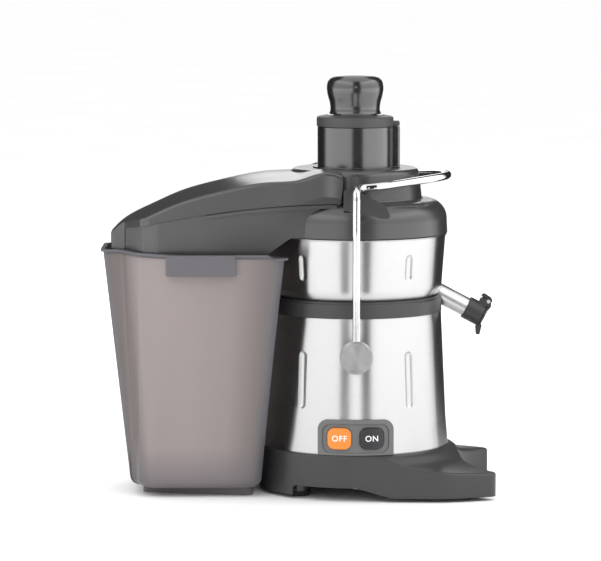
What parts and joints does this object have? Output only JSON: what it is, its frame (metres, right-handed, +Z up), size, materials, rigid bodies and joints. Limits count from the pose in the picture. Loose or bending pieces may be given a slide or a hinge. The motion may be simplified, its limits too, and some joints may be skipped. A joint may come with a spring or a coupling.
{
  "type": "centrifugal juicer",
  "caption": "Upright centrifugal juicer: steel motor stand and bowl, lid with feed tube and pusher, pulp chute over a tall container, locking bail and juice spout.",
  "frame": {"origin": "middle of the object's bounding box, on the surface that it stands on", "axes": "+X from the pulp container to the spout, +Z up, the switches face -Y; the motor axis stands at X = 74 mm"},
  "size_m": [0.504, 0.265, 0.538],
  "materials": {
    "grey_plastic": "satin moulded",
    "dark_plastic": "satin moulded",
    "gloss_plastic": "glossy moulded",
    "black_plastic": "satin moulded",
    "panel_plastic": "satin moulded",
    "orange_plastic": "satin moulded",
    "button_plastic": "satin moulded",
    "smoke_plastic": "translucent smoky moulded",
    "black_rubber": "matt",
    "brushed_steel": "brushed around",
    "polished_steel": "polished",
    "turned_steel": "turned face",
    "zinc_steel": "zinc plated",
    "cast_aluminium": "cast",
    "painted_steel": "satin paint",
    "laminated_iron": "laminated",
    "copper": "enamelled wire"
  },
  "bodies": {
    "machine": {"base": "grey_plastic", "base_plate": "dark_plastic", "base_screws": "zinc_steel", "foot_spacers": "dark_plastic", "rubber_feet": "black_rubber", "cord_gland": "black_rubber", "motor_housing": "brushed_steel", "switch_panel": "panel_plastic", "switch_block": "black_plastic", "bowl_seat_ring": "grey_plastic", "drip_plate": "grey_plastic", "bowl": "brushed_steel", "spout_tube": "brushed_steel", "spout_sleeve": "black_plastic", "flap_pin": "zinc_steel", "lid": "dark_plastic", "chute_cover": "dark_plastic", "feed_tube": "gloss_plastic", "lid_seal": "black_rubber", "pivot_studs": "zinc_steel", "pivot_nuts": "zinc_steel", "lower_end_shield": "cast_aluminium", "upper_end_shield": "cast_aluminium", "motor_can": "painted_steel", "stator_core": "laminated_iron", "stator_windings": "copper", "motor_bolts": "zinc_steel", "lower_bearing_outer": "turned_steel", "upper_bearing_outer": "turned_steel", "bearing_balls": "turned_steel", "motor_hanger": "painted_steel", "motor_mounts": "black_rubber", "deck_posts": "zinc_steel", "shaft_seal": "black_rubber", "capacitor": "cast_aluminium", "terminal_block": "panel_plastic", "interlock_switch": "black_plastic"},
    "rotor": {"motor_shaft": "turned_steel", "rotor_core": "laminated_iron", "cooling_fan": "black_plastic", "drive_coupling": "cast_aluminium", "filter_basket": "brushed_steel", "grater_disc": "brushed_steel", "basket_nut": "turned_steel", "lower_bearing_inner": "turned_steel", "upper_bearing_inner": "turned_steel"},
    "bail": {"bail_handle": "polished_steel", "pivot_knob_front": "turned_steel", "pivot_knob_rear": "turned_steel"},
    "pusher_body": {"pusher": "gloss_plastic", "pusher_foot": "gloss_plastic"},
    "container": {"pulp_container": "smoke_plastic"},
    "flap": {"spout_flap": "black_plastic"},
    "off_switch": {"off_button": "orange_plastic"},
    "on_switch": {"on_button": "button_plastic"}
  },
  "joints": [
    {"name": "rotor_spin", "type": "hinge", "parent": "machine", "child": "rotor", "pos_m": [0.074, 0, 0.26], "axis": [0, 0, 1], "continuous": true},
    {"name": "bail_swing", "type": "hinge", "parent": "machine", "child": "bail", "pos_m": [0.074, 0, 0.185], "axis": [0, 1, 0], "range_deg": [0, 100]},
    {"name": "pusher_slide", "type": "slide", "parent": "machine", "child": "pusher_body", "axis": [0, 0, 1], "range_m": [0, 0.18]},
    {"name": "container_slide", "type": "slide", "parent": "machine", "child": "container", "axis": [-1, 0, 0], "range_m": [0, 0.25]},
    {"name": "flap_swing", "type": "hinge", "parent": "machine", "child": "flap", "pos_m": [0.2466, 0, 0.2432], "axis": [0, -1, 0], "range_deg": [0, 34]},
    {"name": "off_press", "type": "slide", "parent": "machine", "child": "off_switch", "axis": [0, 1, 0], "range_m": [0, 0.0025], "stiffness_N_per_m": 900},
    {"name": "on_press", "type": "slide", "parent": "machine", "child": "on_switch", "axis": [0, 1, 0], "range_m": [0, 0.0025], "stiffness_N_per_m": 900}
  ]
}
